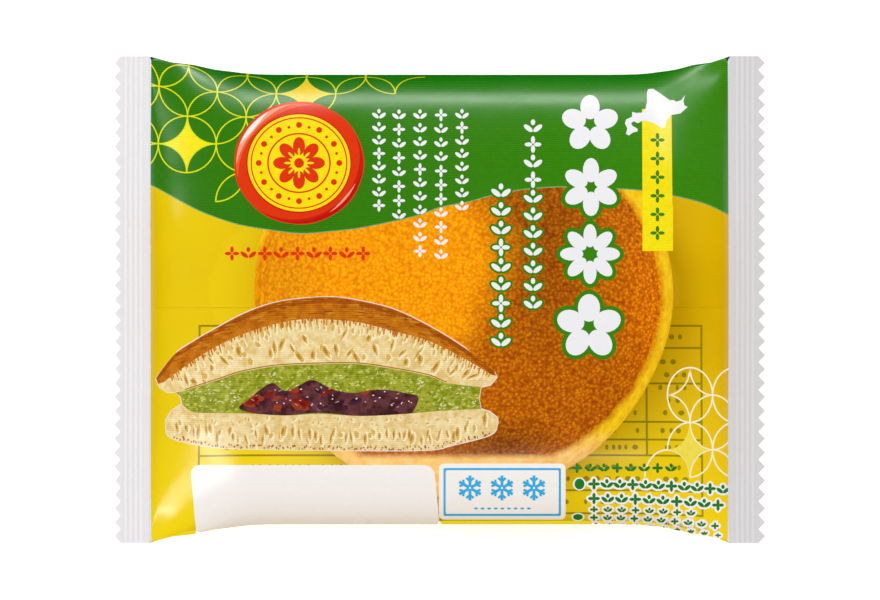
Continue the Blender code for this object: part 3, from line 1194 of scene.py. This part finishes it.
def crust_material():
    """The upper pancake: golden at the upper left, browner round it, painted shade and light, a pale rim.
    """
    n = Nodes("browned_sponge")
    grain = sponge_grain(n)
    broad = n.noise(45.0, 3.0, 0.55)
    brown = shades(n, grain, (146, 64, 0), (178, 92, 0), (216, 134, 2))
    gold = shades(n, grain, (218, 120, 0), (238, 150, 0), (248, 182, 12))
    away = ellipse_distance(n, GOLD_CENTRE, GOLD_RADII)
    face = n.mix(n.range(n.sum(broad, 0.6, away), 1.16, 1.5, 1.0, 0.0), brown, gold)
    # Painted shade and painted light: darker and paler places over the crust
    for centre, radii, factor in CRUST_LIGHT_AND_SHADE:
        away = n.sum(broad, 0.5, ellipse_distance(n, centre, radii))
        face = n.scale(face, n.range(away, 0.5, 1.5, factor, 1.0))
    ragged = n.sum(n.noise(260.0), 0.05, ellipse_distance(n, CRUST_CENTRE, CRUST_RADII))
    wander = n.math("MULTIPLY", n.noise(90.0), 14.0)
    wrinkle = n.math("SINE", n.sum(ragged, WRINKLES, wander))
    wrinkle = n.math("MULTIPLY", wrinkle, n.range(ragged, 0.84, 0.97, 0.0, 0.1))
    face = n.scale(face, n.math("ADD", wrinkle, 1.0))
    near = n.sum(n.axis("Y"), -1 / CRUST_LOW, 0.02)
    edge = n.range(n.math("MAXIMUM", ragged, near), 1.0, 1.04)
    spots = n.noise(500.0)
    pale = n.speckle(spots, (236, 180, 10), (252, 220, 40))
    # Painted reflection: toward the near side the pale rim turns peach, the glare of the film over it
    peach_glare = n.speckle(spots, (236, 178, 90), (250, 208, 130))
    rim = n.mix(n.range(near, 0.85, 1.0), pale, peach_glare)
    n.shade(
        Base_Color=n.mix(edge, face, rim),
        Roughness=0.7,
        Specular_IOR_Level=0.03,
        Normal=n.bump(grain, 0.25, 0.12 * MM),
    )
    return n.material


def pale_sponge_material():
    n = Nodes("pale_sponge")
    spots = n.noise(500.0, 4.0)
    n.shade(
        Base_Color=n.speckle(spots, (222, 176, 60), (250, 222, 120)),
        Roughness=0.85,
        Normal=n.bump(spots, 0.6, 0.3 * MM),
    )
    return n.material


def cream_material():
    n = Nodes("matcha_cream")
    spots = n.noise(400.0, 4.0)
    n.shade(
        Base_Color=n.speckle(spots, (138, 158, 40), (176, 190, 84)),
        Roughness=n.vary(spots, 0.45, 0.7),
        Normal=n.bump(spots, 0.4, 0.2 * MM),
    )
    return n.material


# Back of the film

GREEN_ON_BACK = 9 * MM
# The table on the back, in millimetres of film coordinates
BACK_TABLE = (-51.9, -47.0, 56.6, -5.7)  # left, lower, right and upper edge
BACK_TABLE_LINES = (-10.5, -26.6, -30.5, -34.0, -41.8)
BACK_TABLE_CELL = (44.8, -34.0, -18.2)  # left, lower and upper edge of its narrow cell
BACK_TABLE_STROKE = 0.22  # half the thickness of its lines
BACK_TABLE_MARKS = (-8.1, -13.5, -16.3, -19.1, -21.9, -24.6, -28.5, -32.2, -36.6, -39.2, -44.4)


def back_print():
    """The green field's edge, which reaches round the far side, and a table with rows of small marks."""
    x = np.linspace(-SEAL_START - MM, SEAL_START + MM, 80)
    edge = HALF - GREEN_ON_BACK + 1.5 * MM * np.sin(2 * np.pi * x / (90 * MM))
    shapes = [("green", [between(x, edge, HALF + MM)], None)]
    left, low, right, top = BACK_TABLE
    cell_x, cell_low, cell_top = BACK_TABLE_CELL
    bars = [(left, y, right, y) for y in (top, low)]
    bars += [(x, low, x, top) for x in (left, right)]
    bars += [(left, y, right, y) for y in BACK_TABLE_LINES]
    bars += [(cell_x, cell_low, cell_x, cell_top), (cell_x, cell_top, right, cell_top)]
    t = BACK_TABLE_STROKE
    for x0, y0, x1, y1 in bars:
        loop = np.array([(x0 - t, y0 - t), (x1 + t, y0 - t), (x1 + t, y1 + t), (x0 - t, y1 + t)])
        shapes.append(("back_line", [dense(loop, 4.0) * MM], None))
    draw = random.Random(5)
    for row in BACK_TABLE_MARKS:
        cx = left + 4
        while cx < right - 4:
            width = draw.uniform(0.7, 1.5)
            if draw.random() < 0.72 and abs(cx - cell_x) > 2:
                mark = oval(cx + width / 2, row, width / 2, 0.6, points=8)
                shapes.append(("back_line", [mark * MM], None))
            cx += width + draw.uniform(0.5, 1.0)
    return shapes


# Pieces

# Painted shade: the gaps between the ribs are darker than the ribs, and the right seal is darker than the
# left
SEALS = (  # side, name, and the colours of the gaps and of the ribs
    (-1, "left", (220, 218, 220), (230, 228, 230)),
    (1, "right", (203, 201, 203), (214, 212, 214)),
)


def film_pieces():
    front_print()
    cut = cut_film(FRONT, "window", FRONT_REACH)
    print_piece = film_piece("front_print", cut, lambda i: i not in UNPRINTED, True)
    # Thin ink lets much of the light through to the sweet
    print_piece.visible_shadow = False
    print_piece.visible_diffuse = False
    film_piece("front_window", cut, lambda i: i in UNPRINTED, True)
    cut = cut_film(back_print(), "back_yellow", FLAT_WIDTH - FRONT_REACH)
    film_piece("back_panel", cut, lambda i: True, False)


def thin_sheet(name, columns, rows, place, material, thickness):
    """A closed thin sheet over a grid of columns and rows."""
    mesh = bmesh.new()
    layers = []
    for lift in (thickness / 2, -thickness / 2):
        up = Vector((0, 0, lift))
        layers.append([[mesh.verts.new(Vector(place(c, r)) + up) for c in columns] for r in rows])
    top, bottom = layers
    for r in range(len(rows) - 1):
        for c in range(len(columns) - 1):
            mesh.faces.new((top[r][c], top[r][c + 1], top[r + 1][c + 1], top[r + 1][c]))
            mesh.faces.new((bottom[r][c], bottom[r + 1][c], bottom[r + 1][c + 1], bottom[r][c + 1]))
    border = [(0, c) for c in range(len(columns))]
    border += [(r, len(columns) - 1) for r in range(1, len(rows))]
    border += [(len(rows) - 1, c) for c in range(len(columns) - 2, -1, -1)]
    border += [(r, 0) for r in range(len(rows) - 2, 0, -1)]
    for a, b in zip(border, border[1:] + border[:1]):
        mesh.faces.new((top[a[0]][a[1]], bottom[a[0]][a[1]], bottom[b[0]][b[1]], top[b[0]][b[1]]))
    bmesh.ops.remove_doubles(mesh, verts=mesh.verts, dist=1e-7)
    bmesh.ops.dissolve_degenerate(mesh, edges=mesh.edges, dist=1e-7)
    return solid_piece(name, mesh, material, SHARP)


def end_seals():
    """Both crimped ends. Their teeth are less even on the left."""
    draw = random.Random(4)
    rib_rows = round((TOOTH_LINE - SEAL_START) / (RIB_PITCH / 6))
    rows = [(r / rib_rows, 0.0) for r in range(rib_rows + 1)] + [(1.0, t / 3) for t in (1, 2, 3)]
    for side, word, gaps, ribs in SEALS:
        depth = [draw.uniform(0.8, 1.0) if side < 0 else 1.0 for _ in range(TEETH + 1)]

        def place(column, row, side=side, depth=depth):
            y = -HALF + column * TOOTH_PITCH / 4
            tooth = (0.0, 0.5, 1.0, 0.5)[column % 4] * depth[column // 4]
            x = side * (SEAL_START + (TOOTH_LINE - SEAL_START) * row[0] + TOOTH_DEPTH * tooth * row[1])
            return x, y, SIDE_Z + float(ripple(np.array(x), np.array(y), True))

        material = seal_material("crimped_white_painted_shade_" + word, gaps, ribs)
        thin_sheet(word + "_end_seal", range(4 * TEETH + 1), rows, place, material, 2 * SEAM_GAP)


def fin_seal():
    """The long seam, folded flat against the back."""
    low, high = FIN_EDGES
    columns = [low - 0.25 * MM] + list(np.linspace(low, high, 26))
    rows = list(np.linspace(-SEAL_START, SEAL_START, 140))
    half = 0.08 * MM

    def place(y, x):
        panel = float(film(np.array([x]), np.array([y]), False)[0, 2])
        drop = 0.0 if y < low else FIN_THICK - half
        rib = 0.05 * MM * math.sin(2 * math.pi * y / (0.9 * MM))
        return x, y, max(panel - drop + rib, half)

    thin_sheet("back_fin_seal", columns, rows, place, film_material("back_yellow"), 2 * half)


# The sweet inside

CAKE_X, CAKE_Y = 4.84 * MM, 1.2 * MM
CAKE_RX, CAKE_RY = 45.0 * MM, 43.6 * MM
CRUST_CENTRE, CRUST_RADII = (3.8 * MM, 0.5 * MM), (44.1 * MM, 38.5 * MM)  # its browned face
CRUST_LOW = 33.4 * MM  # where the face ends toward the near side
GOLD_CENTRE, GOLD_RADII = (-16.0 * MM, 7.4 * MM), (28.0 * MM, 22.0 * MM)
CRUST_LIGHT_AND_SHADE = (  # centre, radii and factor of painted shade and painted light: darker and paler places
    ((22.0 * MM, 13.0 * MM), (11.0 * MM, 24.0 * MM), 0.68),
    ((13.0 * MM, -31.0 * MM), (13.0 * MM, 5.5 * MM), 0.56),
    ((46.0 * MM, 2.0 * MM), (9.0 * MM, 26.0 * MM), 1.4),
    ((-34.0 * MM, 5.0 * MM), (9.0 * MM, 26.0 * MM), 0.84),
)
WRINKLES = 150.0
SKIN_GAP = 0.35 * MM  # from the film to the cake
RIM_Z = 9.2 * MM
CREAM_GAP = 0.4 * MM  # from there to the edge of each pancake
CREAM_THICK = 1.2 * MM
DOME_RINGS, DOME_SPOKES = 70, 200
UPPER_RISE, LOWER_RISE = 17.6 * MM, 8.6 * MM  # of the pancakes, if the film didn't press on them
UPPER_POWER, LOWER_POWER = 2.6, 2.2  # roundness of the pancakes


def cake_half(name, upper, material):
    """One pancake of the sweet: a dome that presses against the film, closed on the cream's side."""
    mesh = bmesh.new()
    a = np.linspace(0, 2 * np.pi, DOME_SPOKES, endpoint=False)
    wobble = 1 + 0.006 * np.sin(3 * a + 1) + 0.004 * np.sin(7 * a + 2)
    layers = []
    for ring in range(1, DOME_RINGS + 1):
        r = math.sin(math.pi / 2 * ring / DOME_RINGS)
        x = CAKE_X + CAKE_RX * r * wobble * np.cos(a)
        y = CAKE_Y + CAKE_RY * r * wobble * np.sin(a)
        rise = (1 - r ** (UPPER_POWER if upper else LOWER_POWER)) ** 0.5
        if upper:
            dent = 0.25 * MM * np.sin(x / (9 * MM) + 1) * np.sin(y / (11 * MM)) * rise
            s = np.sign(y) * np.interp(np.abs(y), *width_line())
            z = np.minimum(RIM_Z + CREAM_GAP + UPPER_RISE * rise + dent, film(x, s)[:, 2] - SKIN_GAP)
        else:
            z = np.maximum(RIM_Z - CREAM_GAP - LOWER_RISE * rise, room_for_fin(y) + SKIN_GAP)
        layers.append([mesh.verts.new(p) for p in zip(x, y, z)])
    lid = film(np.array([CAKE_X]), np.array([CAKE_Y]))[0, 2]
    top = mesh.verts.new((CAKE_X, CAKE_Y, float(lid - SKIN_GAP) if upper else FIN_THICK + SKIN_GAP))
    under = mesh.verts.new((CAKE_X, CAKE_Y, RIM_Z))
    inner = []
    for v in layers[-1]:
        point = v.co.lerp(under.co, 0.02)
        inner.append(mesh.verts.new((point.x, point.y, RIM_Z)))
    for k in range(DOME_SPOKES):
        j = (k + 1) % DOME_SPOKES
        mesh.faces.new((top, layers[0][k], layers[0][j]))
        for a_ring, b_ring in zip(layers, layers[1:]):
            mesh.faces.new((a_ring[k], b_ring[k], b_ring[j], a_ring[j]))
        mesh.faces.new((layers[-1][k], inner[k], inner[j], layers[-1][j]))
        mesh.faces.new((inner[k], under, inner[j]))
    return solid_piece(name, mesh, material)


def width_line():
    """Half width of the front against film distance in the middle of the pack."""
    half = TABLE_COLUMNS // 2 + 1
    widths = np.maximum.accumulate(WIDE[TABLE_ROWS // 2, :half])
    return widths, np.linspace(0, FLAT_WIDTH, TABLE_COLUMNS)[:half]


def sweet():
    """Two pancakes and the cream between them."""
    cake_half("upper_pancake", True, crust_material())
    cake_half("lower_pancake", False, pale_sponge_material())
    cream = bmesh.new()
    bmesh.ops.create_cone(cream, cap_ends=True, segments=160, radius1=1, radius2=1, depth=1)
    for v in cream.verts:
        a = math.atan2(v.co.y, v.co.x)
        r = 0.955 + 0.008 * math.sin(9 * a) + 0.006 * math.sin(17 * a + 1)
        v.co = (CAKE_X + CAKE_RX * r * v.co.x, CAKE_Y + CAKE_RY * r * v.co.y, RIM_Z + v.co.z * CREAM_THICK)
    solid_piece("matcha_cream", cream, cream_material(), SHARP)


# The studio

SKY_STRENGTH = 1.0
FLOOR_REACH, FLOOR_GLOW = 3.0, 0.35
LIGHT_TARGET = (0, 0, 0.01)
# Name, place, width, height, power and roll of the lamps
KEY = ("key", (-0.5, 0.6, 1.0), 0.6, 0.6, 3.0, 0)
GLINTS = (
    ("far_strip", (0, 1.0, 0.15), 0.5, 0.17, 10.0, 0),
    ("far_right_strip", (0.6, 1.0, 0.52), 0.9, 0.12, 13.0, -34),
    ("far_left_strip", (-0.28, 1.0, 0.23), 0.5, 0.12, 3.6, 18),
    ("left_strip", (-0.95, 0.42, 0.28), 0.45, 0.2, 3.4, 0),
    ("left_low_patch", (-0.76, -0.69, 0.62), 0.55, 0.1, 16.0, 0),
    ("low_patch", (0.12, -0.82, 0.87), 0.5, 0.08, 2.6, 0),
)


def floor():
    """A pale floor that glows a little and isn't mirrored in the film."""
    data = bpy.data.meshes.new("floor")
    corners = [(x * FLOOR_REACH, y * FLOOR_REACH, 0) for x, y in ((-1, -1), (1, -1), (1, 1), (-1, 1))]
    data.from_pydata(corners, [], [(0, 1, 2, 3)])
    n = Nodes("pale_floor")
    n.shade(
        Base_Color=n.ramp(n.noise(3.0), (0.0, grey(0.9)), (1.0, grey(0.93))),
        Roughness=0.9,
        Specular_IOR_Level=0.0,
        Emission_Color=grey(1.0),
        Emission_Strength=FLOOR_GLOW,
    )
    data.materials.append(n.material)
    ground = show("floor", data)
    ground.visible_glossy = False


def soft_light(name, place, width, height, power, roll):
    light = bpy.data.lights.new(name, "AREA")
    light.shape = "RECTANGLE"
    light.size, light.size_y = width, height
    light.energy = power
    lamp = show(name, light)
    lamp.location = place
    aim = (Vector(LIGHT_TARGET) - Vector(place)).to_track_quat("-Z", "Y")
    lamp.rotation_euler = (aim @ Quaternion((0, 0, 1), math.radians(roll))).to_euler()
    return lamp


def sky():
    """An even pale dome. Gloss doesn't mirror it, so that the print keeps its full colour."""
    world = bpy.data.worlds.new("studio")
    bpy.context.scene.world = world
    world.use_nodes = True
    background = world.node_tree.nodes["Background"]
    background.inputs["Color"].default_value = grey(1.0)
    background.inputs["Strength"].default_value = SKY_STRENGTH
    world.cycles_visibility.glossy = False


def lights():
    """An even sky, a soft key lamp, and lamps that show in the film only, as its highlights."""
    sky()
    soft_light(*KEY).visible_glossy = False
    for lamp in GLINTS:
        soft_light(*lamp).visible_diffuse = False


def camera():
    data = bpy.data.cameras.new("camera")
    data.sensor_width = SENSOR
    data.lens = SENSOR * (CAMERA_HEIGHT - SIDE_Z) / (PICTURE[0] * PIXEL)
    data.clip_start, data.clip_end = 0.1, 10.0
    eye = show("camera", data)
    eye.location = (
        (PICTURE[0] / 2 - PACK_CENTRE[0]) * PIXEL,
        (PACK_CENTRE[1] - PICTURE[1] / 2) * PIXEL,
        CAMERA_HEIGHT,
    )
    bpy.context.scene.camera = eye


def main():
    camera()
    film_pieces()
    end_seals()
    fin_seal()
    sweet()
    floor()
    lights()
    bpy.context.scene.view_settings.view_transform = "Standard"


main()
